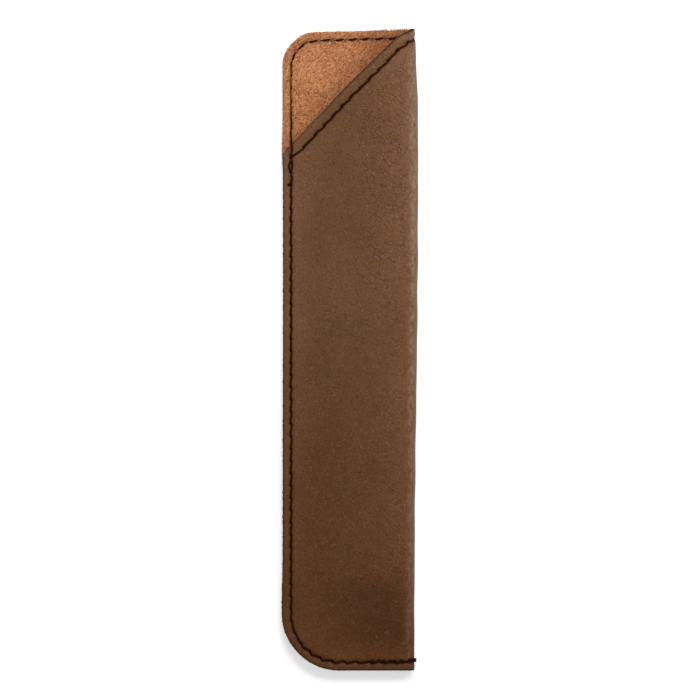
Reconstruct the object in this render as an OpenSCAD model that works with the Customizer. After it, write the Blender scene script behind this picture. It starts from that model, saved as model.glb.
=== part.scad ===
// Single pen sleeve: a leatherette cover and a suede lining, folded together and sewn shut.
// It lies on its back panel: +X points to the fold, +Y to the mouth, +Z out of the front panel.

/* [Outline] */
// Length from the bottom edge to the top of the fold
sleeve_len = 159; // [150:1:175]
// Width from the sewn side to the fold, at the bottom edge
sleeve_w = 32.7; // [30:0.1:38]
// How far the fold bows outward beside the low end of the mouth
fold_bow = 0.95; // [0:0.05:2]
// Height of the slanted mouth, from its low end to the top of the fold
mouth_drop = 31; // [26:0.5:36]
// Radius by which the slanted mouth turns into the top edge at the fold
mouth_r = 8; // [5:0.5:10]
// Radius of the free top corner of the back panel
top_r = 8; // [5:0.5:12]
// How much lower the back panel's top edge lies at that corner than at the fold
top_fall = 0.6; // [0:0.1:1.5]
// Radius of the sewn bottom corner
foot_r = 14; // [8:0.5:16]

/* [Sheets] */
// Thickness of the leatherette cover
cover_t = 0.9; // [0.8:0.1:1.4]
// Thickness of the suede lining
lining_t = 0.5; // [0.4:0.1:1]

/* [Pocket] */
// Clear height of the empty pocket beside the fold
pocket_gap = 7; // [5:0.1:10]
// Width of the margin that is sewn flat
margin = 3.4; // [3:0.1:4.5]
// Length over which the pocket closes to the flat bottom margin
close_len = 22; // [16:1:34]
// Space between the two lining faces in the sewn margin
nap_gap = 0.12; // [0.05:0.01:0.3]

/* [Stitching] */
// Distance of each stitch line from the cut edge
stitch_in = 2.1; // [1.8:0.1:2.4]
// Stitch length of the hem round the mouth and the back panel's free edge
hem_pitch = 3.3; // [3:0.1:4]
// Stitch length of the side and bottom seam
seam_pitch = 3.05; // [2.8:0.05:4]
// Thickness of the sewing thread
thread_d = 0.5; // [0.4:0.05:0.6]

/* [Hidden] */

wall = cover_t + lining_t;
sewn_t = 2 * wall + nap_gap;
mouth_low = sleeve_len - mouth_drop;
bow_low = 10;
sleeve_w_max = sleeve_w + fold_bow;

// Share of the front panel's width over which its slope begins, and again ends
bend_share = 0.25;

// Columns of the sheets over the back panel, round the fold and over the front panel
back_cols = 3;
fold_cols = 12;
front_cols = 9;
cols = back_cols + fold_cols + front_cols;
foot_rows = 6;
close_rows = 4;
side_rows = 6;
mouth_rows = 8;
crown_rows = 6;
arc_steps = 8;

// A thread is a tube with its flat side to the sheet, at a hair's breadth from it
thread_sides = 5;
thread_flat = thread_d / 2 * cos(180 / thread_sides);
thread_clear = 0.05;
thread_run = thread_flat + thread_clear;
hole_d = 2 * thread_d;
hole_fn = 24;
groove_depth = thread_d / 2 + thread_run + thread_clear;
groove_w = thread_d + 0.2;
// Share of the fold's radius over which the hem's groove runs out
groove_reach = 0.6;
cut_extra = 1;
hole_extra = 0.2;

function ease(v) = let (t = min(1, max(0, v))) t * t * (3 - 2 * t);

// Rise from 0 to 1 with a straight middle and two bends, and its slope
function rise(v) =
    v <= 0 ? 0 :
    v >= 1 ? 1 :
    v < bend_share ? v * v / (2 * bend_share * (1 - bend_share)) :
    v > 1 - bend_share ? 1 - (1 - v) * (1 - v) / (2 * bend_share * (1 - bend_share)) :
    (v - bend_share / 2) / (1 - bend_share);
function rise_slope(v) =
    v <= 0 || v >= 1 ? 0 :
    min(1, v / bend_share, (1 - v) / bend_share) / (1 - bend_share);

// Outermost X of the fold, clear height beside it, and X where its round begins
function fold_x(y) =
    sleeve_w
    + fold_bow * ease((y - bow_low) / (mouth_low - bow_low))
    - fold_bow * pow(max(0, y - mouth_low) / mouth_drop, 2);
function fold_gap(y) = nap_gap + (pocket_gap - nap_gap) * rise((y - margin) / close_len);
function fold_r(y) = wall + fold_gap(y) / 2;
function round_x(y) = fold_x(y) - fold_r(y);

// X of the sewn side's edge, and of the inner end of its flat margin
function side_x(y) = y < foot_r ? foot_r - sqrt(foot_r * foot_r - pow(foot_r - y, 2)) : 0;
function slope_x(y) = side_x(y) + margin;

// Clear height under the front panel, and its slope along X
function slope_share(x, y) = (x - slope_x(y)) / (round_x(y) - slope_x(y));
function gap_at(x, y) = nap_gap + (fold_gap(y) - nap_gap) * rise(slope_share(x, y));
function gap_slope(x, y) =
    (fold_gap(y) - nap_gap) * rise_slope(slope_share(x, y)) / (round_x(y) - slope_x(y));

// A place on the folded sheet: s counts columns from the back panel's side edge, round the fold,
// to the front panel's side edge. On the front panel x is where the outer face is seen from above.
function back_s(x, y) = back_cols * x / round_x(y);
function fold_s(angle) = back_cols + fold_cols * (angle + 90) / 180;
function front_s(x, y) =
    x > round_x(y)
    ? fold_s(acos(min(1, (x - round_x(y)) / fold_r(y))))
    : cols - front_cols * min(1, (x + wall * sin(atan(gap_slope(x, y)))) / round_x(y));

// Direction out of the sleeve at s, as an angle from +X toward +Z
function out_angle(s, y) =
    s <= back_cols ? -90 :
    s <= back_cols + fold_cols ? 180 * (s - back_cols) / fold_cols - 90 :
    90 + atan(gap_slope(round_x(y) * (cols - s) / front_cols, y));

// The inner face of the lining at s
function inner_point(s, y) =
    let (x0 = round_x(y))
    s <= back_cols ? [x0 * s / back_cols, y, wall] :
    s <= back_cols + fold_cols ?
        [x0 + fold_gap(y) / 2 * cos(out_angle(s, y)), y,
         wall + fold_gap(y) / 2 * (1 + sin(out_angle(s, y)))] :
    let (x = x0 * (cols - s) / front_cols)
    [x, y, wall + gap_at(x, y)];

function out_dir(s, y) = [cos(out_angle(s, y)), 0, sin(out_angle(s, y))];
function sheet_point(s, y, out) = inner_point(s, y) + out * out_dir(s, y);

// The slanted mouth is the tangent from its low end to the round at the fold
mouth_centre = [sleeve_w, sleeve_len - mouth_r];
mouth_reach = mouth_centre - [0, mouth_low];
mouth_angle = atan2(mouth_reach[1], mouth_reach[0]) + asin(mouth_r / norm(mouth_reach));
function mouth_arc(angle, r) = mouth_centre + r * [cos(angle), sin(angle)];
mouth_turn = mouth_arc(90 + mouth_angle, mouth_r);

// The back panel's free corner
top_centre = [top_r, sleeve_len - top_fall - top_r];
function top_arc(angle, r) = top_centre + r * [cos(angle), sin(angle)];

// The sewn bottom corner
foot_centre = [foot_r, foot_r];
function foot_arc(angle, r) = foot_centre + r * [cos(angle), sin(angle)];

// Each row is the pair of its end points, on the back panel's edge and on the front panel's edge
close_top = max(foot_r, margin + close_len);
rows = [
    for (i = [0 : foot_rows]) let (p = foot_arc(270 - 90 * i / foot_rows, foot_r)) [p, p],
    for (i = [1 : close_rows]) let (p = [0, foot_r + (close_top - foot_r) * i / close_rows]) [p, p],
    for (i = [1 : side_rows]) let (p = [0, close_top + (mouth_low - close_top) * i / side_rows]) [p, p],
    for (i = [1 : mouth_rows]) let (t = i / mouth_rows, low = [0, mouth_low])
        [[0, mouth_low + (top_centre[1] - mouth_low) * t], low + (mouth_turn - low) * t],
    for (i = [1 : crown_rows]) let (t = i / crown_rows)
        [top_arc(180 - 90 * t, top_r), mouth_arc(90 + mouth_angle * (1 - t), mouth_r)]
];

// One layer of the folded pair, between two distances out of the lining's inner face
module folded_sheet(out_0, out_1) {
    n = len(rows);
    w = cols + 1;
    half = n * w;
    points = [
        for (out = [out_0, out_1]) for (row = rows)
            let (s0 = back_s(row[0][0], row[0][1]), s1 = front_s(row[1][0], row[1][1]))
            for (i = [0 : cols]) let (u = i / cols)
                sheet_point(s0 + (s1 - s0) * u, row[0][1] + (row[1][1] - row[0][1]) * u, out)
    ];
    skin = [
        for (j = [0 : n - 2]) for (i = [0 : cols - 1]) let (a = j * w + i)
            each [[a, a + w + 1, a + 1], [a, a + w, a + w + 1]]
    ];
    rim = concat(
        [for (i = [0 : cols - 1]) [i, i + 1]],
        [for (j = [0 : n - 2]) [j * w + cols, (j + 1) * w + cols]],
        [for (i = [cols : -1 : 1]) [(n - 1) * w + i, (n - 1) * w + i - 1]],
        [for (j = [n - 1 : -1 : 1]) [j * w, (j - 1) * w]]
    );
    faces = concat(
        skin,
        [for (f = skin) [f[2] + half, f[1] + half, f[0] + half]],
        [for (e = rim) each [[e[0], e[1] + half, e[0] + half], [e[0], e[1], e[1] + half]]]
    );
    polyhedron(points, faces, convexity = 6);
}

// Route of the hem as [s, y]: up the slanted mouth, round the fold and down the back panel's free edge.
// It begins where the pocket is high enough for the thread under the front panel.
hem_room = thread_d + 2 * thread_clear;
hem_x0 = margin + (round_x(mouth_low) - margin)
    * sqrt(2 * bend_share * (1 - bend_share) * hem_room / (pocket_gap - nap_gap));
hem_line = [0, mouth_low] + stitch_in * [sin(mouth_angle), -cos(mouth_angle)];
hem_turn = mouth_arc(90 + mouth_angle, mouth_r - stitch_in);
hem_y = sleeve_len - stitch_in;
hem_end_y = mouth_low + stitch_in * tan(mouth_angle) + hole_d;
function hem_line_point(x) = [x, hem_line[1] + (x - hem_line[0]) * tan(mouth_angle)];
hem_front = concat(
    [for (i = [0 : arc_steps - 1]) hem_line_point(hem_x0 + (hem_turn[0] - hem_x0) * i / arc_steps)],
    [for (i = [0 : arc_steps - 1]) mouth_arc(90 + mouth_angle * (1 - i / arc_steps), mouth_r - stitch_in)]
);
hem_back = concat(
    [[round_x(hem_y), hem_y]],
    [for (i = [0 : arc_steps]) top_arc(90 + 90 * i / arc_steps, top_r - stitch_in)],
    [[stitch_in, hem_end_y]]
);
hem_route = concat(
    [for (p = hem_front) [front_s(p[0], p[1]), p[1]]],
    [for (i = [0 : arc_steps - 1]) [fold_s(-90 * i / arc_steps), hem_y]],
    [for (p = hem_back) [back_s(p[0], p[1]), p[1]]]
);

// Route of the side and bottom seam in plan, from the low end of the mouth to the fold
seam_route = concat(
    [[stitch_in, mouth_low - stitch_in]],
    [for (i = [0 : arc_steps]) foot_arc(180 + 90 * i / arc_steps, foot_r - stitch_in)],
    [[round_x(stitch_in) - hole_d / 2, stitch_in]]
);

// Running length at each point of a path
function steps(path) = [for (i = [1 : len(path) - 1]) norm(path[i] - path[i - 1])];
function running(path) =
    let (d = steps(path))
    [for (i = 0, t = 0; i < len(path); t = t + (i < len(d) ? d[i] : 0), i = i + 1) t];
function table(lengths, values) = [for (i = [0 : len(lengths) - 1]) [lengths[i], values[i]]];

hem_lengths = running([for (q = hem_route) sheet_point(q[0], q[1], wall / 2)]);
hem_total = hem_lengths[len(hem_lengths) - 1];
hem_stitches = round(hem_total / hem_pitch);
hem_step = hem_total / hem_stitches;
hem_s = table(hem_lengths, [for (q = hem_route) q[0]]);
hem_ys = table(hem_lengths, [for (q = hem_route) q[1]]);
function hem_at(t) = [lookup(t, hem_s), lookup(t, hem_ys)];

seam_lengths = running(seam_route);
seam_total = seam_lengths[len(seam_lengths) - 1];
seam_stitches = round(seam_total / seam_pitch);
seam_step = seam_total / seam_stitches;
seam_xs = table(seam_lengths, [for (p = seam_route) p[0]]);
seam_ys = table(seam_lengths, [for (p = seam_route) p[1]]);
function seam_at(t) = [lookup(t, seam_xs), lookup(t, seam_ys)];

// Centre line of a stitch beside its hole: distance along the route and height over the sheet's face
leg_in = [0.4 * thread_d, 0.3 * thread_d];
leg_out = [1.2 * thread_d, thread_run];

// Rings of a thread as [length, height], dipping to a depth at each hole
function stitch_rings(count, step, dip, crown) = [
    for (k = [0 : count - 1]) each concat(
        [[k * step, -dip]],
        [[k * step + leg_in[0], leg_in[1]]],
        [[k * step + leg_out[0], leg_out[1]]],
        crown ? [[(k + 0.5) * step, leg_out[1]]] : [],
        [[(k + 1) * step - leg_out[0], leg_out[1]]],
        [[(k + 1) * step - leg_in[0], leg_in[1]]]
    ),
    [count * step, -dip]
];

// A tube through the centres, with the flat of each ring turned away from its face direction
module thread_tube(centres, face_dirs) {
    n = len(centres);
    k = thread_sides;
    points = [
        for (i = [0 : n - 1])
            let (along = centres[min(n - 1, i + 1)] - centres[max(0, i - 1)],
                 side = cross(along, face_dirs[i]) / norm(cross(along, face_dirs[i])),
                 up = cross(side, along) / norm(along))
            for (a = [0 : k - 1])
                centres[i] + thread_d / 2 * (sin(360 * a / k) * side + cos(360 * a / k) * up)
    ];
    faces = concat(
        [[for (a = [0 : k - 1]) a]],
        [for (i = [0 : n - 2]) for (a = [0 : k - 1]) let (b = (a + 1) % k)
            each [[i * k + a, (i + 1) * k + a, (i + 1) * k + b], [i * k + a, (i + 1) * k + b, i * k + b]]],
        [[for (a = [k - 1 : -1 : 0]) (n - 1) * k + a]]
    );
    polyhedron(points, faces, convexity = 8);
}

// How deep the hem's outer thread is sunk so that the back panel still lies flat
function sink_at(s, y) =
    s >= fold_s(0) ? 0 :
    max(0, groove_depth - fold_r(y) * (1 / cos(out_angle(s, y) + 90) - 1));

// The hem passes one cover and one lining, the seam passes two of each
hem_dip = wall / 2 - thread_flat - thread_clear;
seam_dip = sewn_t / 2 - thread_flat - thread_clear;

module hem_needle_thread() {
    rings = stitch_rings(hem_stitches, hem_step, hem_dip, true);
    spots = [for (r = rings) hem_at(r[0])];
    centres = [for (i = [0 : len(rings) - 1]) let (q = spots[i])
        let (sink = rings[i][1] < 0 ? 0 : sink_at(q[0], q[1]))
        sheet_point(q[0], q[1], wall - sink + rings[i][1])];
    color("#2e1a10") place() thread_tube(centres, [for (q = spots) out_dir(q[0], q[1])]);
}

module hem_bobbin_thread() {
    rings = stitch_rings(hem_stitches, hem_step, hem_dip, false);
    spots = [for (r = rings) hem_at(r[0])];
    centres = [for (i = [0 : len(rings) - 1]) sheet_point(spots[i][0], spots[i][1], -rings[i][1])];
    color("#2e1a10") place() thread_tube(centres, [for (q = spots) -out_dir(q[0], q[1])]);
}

module seam_needle_thread() {
    rings = stitch_rings(seam_stitches, seam_step, seam_dip, false);
    centres = [for (r = rings) let (p = seam_at(r[0])) [p[0], p[1], sewn_t + r[1]]];
    color("#2e1a10") place() thread_tube(centres, [for (r = rings) [0, 0, 1]]);
}

module seam_bobbin_thread() {
    rings = stitch_rings(seam_stitches, seam_step, seam_dip, false);
    centres = [for (r = rings) let (p = seam_at(r[0]))
        [p[0], p[1], (r[1] < 0 ? 0 : groove_depth) - r[1]]];
    color("#2e1a10") place() thread_tube(centres, [for (r = rings) [0, 0, -1]]);
}

// Needle holes of both stitch lines
module needle_holes() {
    for (k = [0 : hem_stitches])
        let (q = hem_at(k * hem_step))
        translate(sheet_point(q[0], q[1], -hole_extra))
            rotate([0, 90 - out_angle(q[0], q[1]), 0])
                cylinder(d = hole_d, h = wall + hole_extra + cut_extra, $fn = hole_fn);
    for (k = [0 : seam_stitches])
        translate(concat(seam_at(k * seam_step), -cut_extra))
            cylinder(d = hole_d, h = sewn_t + 2 * cut_extra, $fn = hole_fn);
}

// A flat strip along a path in plan
function path_normal(path, i) =
    let (d = path[min(len(path) - 1, i + 1)] - path[max(0, i - 1)])
    [-d[1], d[0]] / norm(d);
function strip(path, w) = concat(
    [for (i = [0 : len(path) - 1]) path[i] + w / 2 * path_normal(path, i)],
    [for (i = [len(path) - 1 : -1 : 0]) path[i] - w / 2 * path_normal(path, i)]
);

// Grooves that the threads press into the underside
module thread_grooves() {
    hem_groove = concat([[round_x(hem_y) + groove_reach * fold_r(hem_y), hem_y]], hem_back);
    for (path = [seam_route, hem_groove])
        translate([0, 0, -cut_extra])
            linear_extrude(height = groove_depth + cut_extra)
                polygon(strip(path, groove_w));
}

// The drawing's corner is moved to the middle of the sleeve's plan
module place() {
    translate([-sleeve_w_max / 2, -sleeve_len / 2, 0]) children();
}

module cover() {
    color("#69482f") place() difference() {
        folded_sheet(lining_t, wall);
        needle_holes();
        thread_grooves();
    }
}

module lining() {
    color("#b0754f") place() difference() {
        folded_sheet(0, lining_t);
        needle_holes();
    }
}

cover();
lining();
hem_needle_thread();
hem_bobbin_thread();
seam_needle_thread();
seam_bobbin_thread();
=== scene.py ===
import math

import bpy
import numpy as np
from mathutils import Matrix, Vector
from mathutils.geometry import delaunay_2d_cdt
from mathutils.kdtree import KDTree


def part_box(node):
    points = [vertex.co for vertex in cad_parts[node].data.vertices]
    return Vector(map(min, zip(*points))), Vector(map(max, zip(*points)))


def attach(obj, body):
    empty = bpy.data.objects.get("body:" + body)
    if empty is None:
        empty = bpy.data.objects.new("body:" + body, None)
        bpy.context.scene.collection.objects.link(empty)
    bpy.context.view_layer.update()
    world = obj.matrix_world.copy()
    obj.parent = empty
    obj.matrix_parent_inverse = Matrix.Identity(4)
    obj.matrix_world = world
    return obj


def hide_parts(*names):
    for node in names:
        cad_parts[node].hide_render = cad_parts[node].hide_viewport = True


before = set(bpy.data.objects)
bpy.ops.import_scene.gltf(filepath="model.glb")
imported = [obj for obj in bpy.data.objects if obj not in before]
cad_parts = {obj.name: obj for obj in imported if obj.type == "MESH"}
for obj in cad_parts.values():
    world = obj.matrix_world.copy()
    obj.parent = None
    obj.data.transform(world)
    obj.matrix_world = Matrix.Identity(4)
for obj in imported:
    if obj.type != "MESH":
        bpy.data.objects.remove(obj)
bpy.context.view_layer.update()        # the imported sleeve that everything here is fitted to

mm = 0.001
scene = bpy.context.scene

# Camera: straight above, a long lens as for a catalogue picture

camera = {
    "height": 1200,          # mm above the table
    "frameWidth": 173.6,     # mm of table across the picture
    "focusHeight": 2.5,      # height at which that width holds, about the sewn margin
    "aim": (-0.115, -0.01),  # middle of the picture
    "clip": (0.05, 20),      # metres
}


def makeCamera():
    lens = bpy.data.cameras.new("camera")
    lens.lens = lens.sensor_width * (camera["height"] - camera["focusHeight"]) / camera["frameWidth"]
    lens.clip_start, lens.clip_end = camera["clip"]
    body = bpy.data.objects.new("camera", lens)
    body.location = Vector((*camera["aim"], camera["height"])) * mm
    scene.collection.objects.link(body)
    scene.camera = body


makeCamera()
print("camera ready")

# Form of the sleeve, in mm, with x = 0 at the sewn side and y = 0 at the bottom edge.
# What the frame can tell is taken from it, the rest repeats the driving sizes of the construction.

sleeve = {
    "foldBow": 0.95,    # outward bow of the fold below the mouth
    "mouthDrop": 31,    # height of the slanted mouth
    "mouthRadius": 8,
    "topRadius": 8,
    "topFall": 0.6,     # the free corner lies this much lower than the fold
    "footRadius": 14,
    "margin": 3.4,      # width that is sewn flat
    "closeLength": 22,  # length over which the pocket closes to the bottom
    "napGap": 0.12,
    "bowLow": 10,
    "bendShare": 0.25,
    "liningThick": 0.5,
}

coverLow, coverHigh = (np.array(corner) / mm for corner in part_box("cover"))
liningLow = np.array(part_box("lining")[0]) / mm
coverThick = liningLow[2] - coverLow[2]
wall = coverThick + sleeve["liningThick"]
sleeveLength = coverHigh[1] - coverLow[1]
sleeveWidth = coverHigh[0] - coverLow[0] - sleeve["foldBow"]
pocketGap = coverHigh[2] - 2 * wall
mouthLow = sleeveLength - sleeve["mouthDrop"]
foldSpan = math.pi * (pocketGap + wall) / 2    # the fold's width in the flat pattern


def ease(v):
    t = np.clip(v, 0, 1)
    return t * t * (3 - 2 * t)


def rise(v):
    # straight middle, a bend at each end
    k, v = sleeve["bendShare"], np.clip(v, 0, 1)
    bend = 2 * k * (1 - k)
    later = np.where(v > 1 - k, 1 - (1 - v) ** 2 / bend, (v - k / 2) / (1 - k))
    return np.where(v < k, v * v / bend, later)


def foldX(y):
    fall = np.maximum(0, y - mouthLow) / sleeve["mouthDrop"]
    bow = ease((y - sleeve["bowLow"]) / (mouthLow - sleeve["bowLow"])) - fall ** 2
    return sleeveWidth + sleeve["foldBow"] * bow


def foldGap(y):
    opening = rise((y - sleeve["margin"]) / sleeve["closeLength"])
    return sleeve["napGap"] + (pocketGap - sleeve["napGap"]) * opening


def roundX(y):
    return foldX(y) - wall - foldGap(y) / 2


def gapAt(x, y):
    foot = sleeve["footRadius"]
    side = np.where(y < foot, foot - np.sqrt(np.maximum(0, foot ** 2 - (foot - y) ** 2)), 0)
    start = side + sleeve["margin"]
    return sleeve["napGap"] + (foldGap(y) - sleeve["napGap"]) * rise((x - start) / (roundX(y) - start))


# The flat pattern has w across and y up. w is 0 where the back panel meets the fold, and runs
# round the fold to the front panel. out is the distance out of the lining's inner face.

def innerAt(w, y):
    w, y = np.asarray(w, float), np.asarray(y, float)
    x0, half = roundX(y), foldGap(y) / 2
    turn = np.clip(w / foldSpan, 0, 1) * math.pi - math.pi / 2
    x = np.where(w < 0, x0 + w, np.where(w > foldSpan, x0 + foldSpan - w, x0 + half * np.cos(turn)))
    z = np.where(w < 0, wall, np.where(w > foldSpan, wall + gapAt(x, y), wall + half * (1 + np.sin(turn))))
    return np.stack([x, y + 0 * x, z], -1)


def outwardAt(w, y, reach=0.02):
    along = innerAt(w, y + reach) - innerAt(w, y - reach)
    across = innerAt(w + reach, y) - innerAt(w - reach, y)
    out = np.cross(along, across)
    return out / np.linalg.norm(out, axis=-1, keepdims=True)


def sheetAt(w, y, out):
    return innerAt(w, y) + np.asarray(out)[..., None] * outwardAt(w, y)


def backW(x, y):
    return x - roundX(y)


def frontW(x, y):
    # x is where the outer face is seen from above
    reach = 0.05
    radius = wall + foldGap(y) / 2
    slope = (gapAt(x + reach, y) - gapAt(x - reach, y)) / (2 * reach)
    lean = wall * slope / np.sqrt(1 + slope ** 2)
    onFold = foldSpan * (0.5 + np.arccos(np.clip((x - roundX(y)) / radius, -1, 1)) / math.pi)
    return np.where(x > roundX(y), onFold, foldSpan + roundX(y) - x - lean)


def unrolled(side, path):
    # a line as seen from above, on that side of the flat pattern
    return np.stack([side(*path.T), path[:, 1]], 1)


def arc(centre, radius, fromAngle, toAngle, step=0.2):
    count = max(4, int(radius * abs(toAngle - fromAngle) / step))
    a = np.linspace(fromAngle, toAngle, count)
    return np.stack([centre[0] + radius * np.cos(a), centre[1] + radius * np.sin(a)], 1)


def line(start, end, step=0.2):
    count = max(2, int(math.dist(start, end) / step))
    return np.linspace(start, end, count)


# Slanted mouth: the tangent from its low end to the round at the fold
mouthCentre = (sleeveWidth, sleeveLength - sleeve["mouthRadius"])
mouthReach = math.dist(mouthCentre, (0, mouthLow))
mouthAngle = math.atan2(mouthCentre[1] - mouthLow, mouthCentre[0])
mouthAngle += math.asin(sleeve["mouthRadius"] / mouthReach)
topCentre = (sleeve["topRadius"], sleeveLength - sleeve["topFall"] - sleeve["topRadius"])
footCentre = (sleeve["footRadius"], sleeve["footRadius"])
quarter = math.pi / 2


def mouthHeight(x):
    return mouthLow + x * math.tan(mouthAngle)


# Small unevenness of the made thing, on top of the plan
handmade = {
    "mouthSink": 1.0,                # mm that the slanted mouth hangs low beside the fold
    "sinkStart": (15, 16),           # it starts this far left of the fold, and grows over this width
    "edgeSinkEnd": 4.5,              # the cut edge is level again this far round the fold
    "hemSinkEnd": (5.2, 9.4),        # and the hem between these two places
    "hemDeeper": (0.8, 31.7, 5),     # the hem is sewn lower on the slant: depth, end and fading
    "lastStitch": (0.4, 30.6, 1.1),  # so is the last stitch before the fold: depth, place, reach
    "cornerTrim": (0.28, 0.42),      # the free corner is cut a little flat: depth and reach in radians
    # height, reach and shift of each bend of the sewn edge
    "sideWaver": ((129.5, 4.5, -0.22), (14.5, 9, -0.22), (100, 40, 0.12)),
    "waverWidth": 6,
    "firstStitches": (1.7, 12, 50),  # the seam's first stitches are longer: in all, up to, fading
    "seed": 7,
}


def running(path):
    return np.concatenate([[0], np.cumsum(np.linalg.norm(np.diff(path, axis=0), axis=1))])


def spaced(path, step):
    # even points along a path, both ends kept
    length = running(path)
    at = np.linspace(0, length[-1], max(2, round(length[-1] / step) + 1))
    return np.stack([np.interp(at, length, path[:, i]) for i in range(path.shape[1])], 1)


def bell(distance, width):
    return np.exp(-(distance / width) ** 2)


def sunk(route, fromW, toW):
    # the mouth hangs lower beside the fold than it was drawn
    w, (start, width) = route[:, 0], handmade["sinkStart"]
    share = ease((foldSpan + start - w) / width) * ease((w - fromW) / (toW - fromW))
    return np.stack([w, route[:, 1] - handmade["mouthSink"] * share], 1)


def waver(path):
    # the sewn side isn't cut quite straight
    x, y = path.T
    shift = sum(amount * bell(y - middle, reach) for middle, reach, amount in handmade["sideWaver"])
    return np.stack([x + shift * ease(1 - x / handmade["waverWidth"]), y], 1)


def trimmed(corner):
    x, y = (corner - topCentre).T
    depth, reach = handmade["cornerTrim"]
    share = 1 - depth / sleeve["topRadius"] * bell(np.arctan2(y, x) - 1.5 * quarter, reach)
    return topCentre + (corner - topCentre) * share[:, None]


def patternOutline(step):
    foot, top, mouth = sleeve["footRadius"], sleeve["topRadius"], sleeve["mouthRadius"]
    frontPath = waver(np.concatenate([
        arc(footCentre, foot, -quarter, -2 * quarter),
        line((0, foot), (0, mouthLow)),
    ]))
    turn = arc(mouthCentre, mouth, quarter + mouthAngle, quarter)
    mouthPath = np.concatenate([line(frontPath[-1], turn[0]), turn[1:]])
    backPath = waver(np.concatenate([
        trimmed(arc(topCentre, top, quarter, 2 * quarter)),
        line((0, topCentre[1]), (0, foot)),
        arc(footCentre, foot, 2 * quarter, 3 * quarter),
    ]))
    front, mouthSide = unrolled(frontW, frontPath), unrolled(frontW, mouthPath)
    back = unrolled(backW, backPath)
    over, crest = np.concatenate([mouthSide, line(mouthSide[-1], back[0])[1:]]), foldSpan / 2
    over = sunk(over, crest, crest + handmade["edgeSinkEnd"])
    sides = [line(back[-1], front[0]), front, over, back]
    return np.concatenate([spaced(side, step)[:-1] for side in sides])


# Stitch lines, as routes in the flat pattern

stitching = {
    "inset": 2.1,     # from the cut edge
    "hemStitches": 28,
    "hemRoom": 0.6,   # the under thread of the hem needs this height in the pocket
    "hemTurn": 0.75,  # the hem's lowest stitch meets the side seam this far inside it
    "hemPast": 1.0,   # and the hem ends this far above the low end of the mouth
    "seamPitch": 3.05,
    "thread": 0.48,   # thickness of the sewing thread
    "hole": 0.28,     # radius that the needle leaves, filled by the thread
    "lineStep": 0.1,  # spacing of the points along a thread
}

inset, bend = stitching["inset"], sleeve["bendShare"]
hemStart = sleeve["margin"] + (roundX(mouthLow) - sleeve["margin"]) * math.sqrt(
    2 * bend * (1 - bend) * stitching["hemRoom"] / (pocketGap - sleeve["napGap"]))
hemEnd = mouthHeight(inset) + stitching["hemPast"]


def hemLine(x):
    # the stitch line beside the slanted mouth
    x0, y0 = inset * math.sin(mouthAngle), mouthLow - inset * math.cos(mouthAngle)
    return np.array([x, y0 + (x - x0) * math.tan(mouthAngle)])


def hemRoute():
    mouth = sleeve["mouthRadius"] - inset
    turn = arc(mouthCentre, mouth, quarter + mouthAngle, quarter, 0.1)
    front = np.concatenate([line(hemLine(inset + stitching["hemTurn"]), turn[0], 0.1)[:-1], turn])
    depth, end, fading = handmade["hemDeeper"]
    front[:, 1] -= depth * ease((end - front[:, 0]) / fading)
    depth, place, reach = handmade["lastStitch"]
    front[:, 1] -= depth * bell(front[:, 0] - place, reach)
    hemY = sleeveLength - inset
    corner = trimmed(np.concatenate([
        arc(topCentre, sleeve["topRadius"] - inset, quarter, 2 * quarter, 0.1),
        line((inset, topCentre[1]), (inset, hemEnd), 0.1)[1:],
    ]))
    onFront, onBack = unrolled(frontW, front), unrolled(backW, corner)
    fold = [line(onFront[-1], (0, hemY), 0.1)[1:], line((0, hemY), onBack[0], 0.1)[1:-1]]
    return sunk(np.concatenate([onFront, *fold, onBack]), *handmade["hemSinkEnd"])


def seamPlan(topY):
    foot = sleeve["footRadius"]
    return np.concatenate([
        line((inset, topY), (inset, foot), 0.1)[:-1],
        arc(footCentre, foot - inset, -2 * quarter, -quarter, 0.1),
        line((foot, inset), (roundX(inset) - 0.5, inset), 0.1)[1:],
    ])


class Stitches:
    # one line of lockstitches: its route in the flat pattern and the running length of each needle hole

    def __init__(self, route, pitch=None, count=None, firstHole=0):
        self.route = route
        self.length = running(sheetAt(*route.T, wall / 2))
        count = count or round(self.length[-1] / pitch)
        self.step = (self.length[-1] - firstHole) / count
        self.holes = firstHole + self.step * np.arange(-int(firstHole / self.step), count + 1)

    def at(self, t):
        # place in the flat pattern at running length t
        return np.stack([np.interp(t, self.length, self.route[:, i]) for i in (0, 1)], -1)


hemWhole = hemRoute()
hemPoint = np.argmin(np.abs(hemWhole[:, 0] - frontW(*hemLine(hemStart))))
hemFrom = running(sheetAt(*hemWhole.T, wall / 2))[hemPoint]
hem = Stitches(hemWhole, count=stitching["hemStitches"], firstHole=hemFrom)
seamXy = seamPlan(hemEnd)                          # the side seam begins in the hem's last hole
frontSeam = Stitches(unrolled(frontW, seamXy), stitching["seamPitch"])
backSeam = Stitches(unrolled(backW, seamXy), stitching["seamPitch"])
for seam in (frontSeam, backSeam):
    t, (longer, end, fading) = seam.holes, handmade["firstStitches"]
    seam.holes = t + longer * ease(t / 5) * (1 - ease((t - end) / fading))
# two longer stitches take the hem from the open mouth down to the seam
hem.holes = hem.holes[1:]
hem.holes[0] = hem.holes[1] - 0.5 * (hemStart - inset) / math.cos(mouthAngle)
print("stitch lines laid out:", len(hem.holes), "and", len(frontSeam.holes), "holes")

# Flat pattern of both sheets, as triangles that are finest at the cut edge, the stitch lines and the holes

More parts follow.
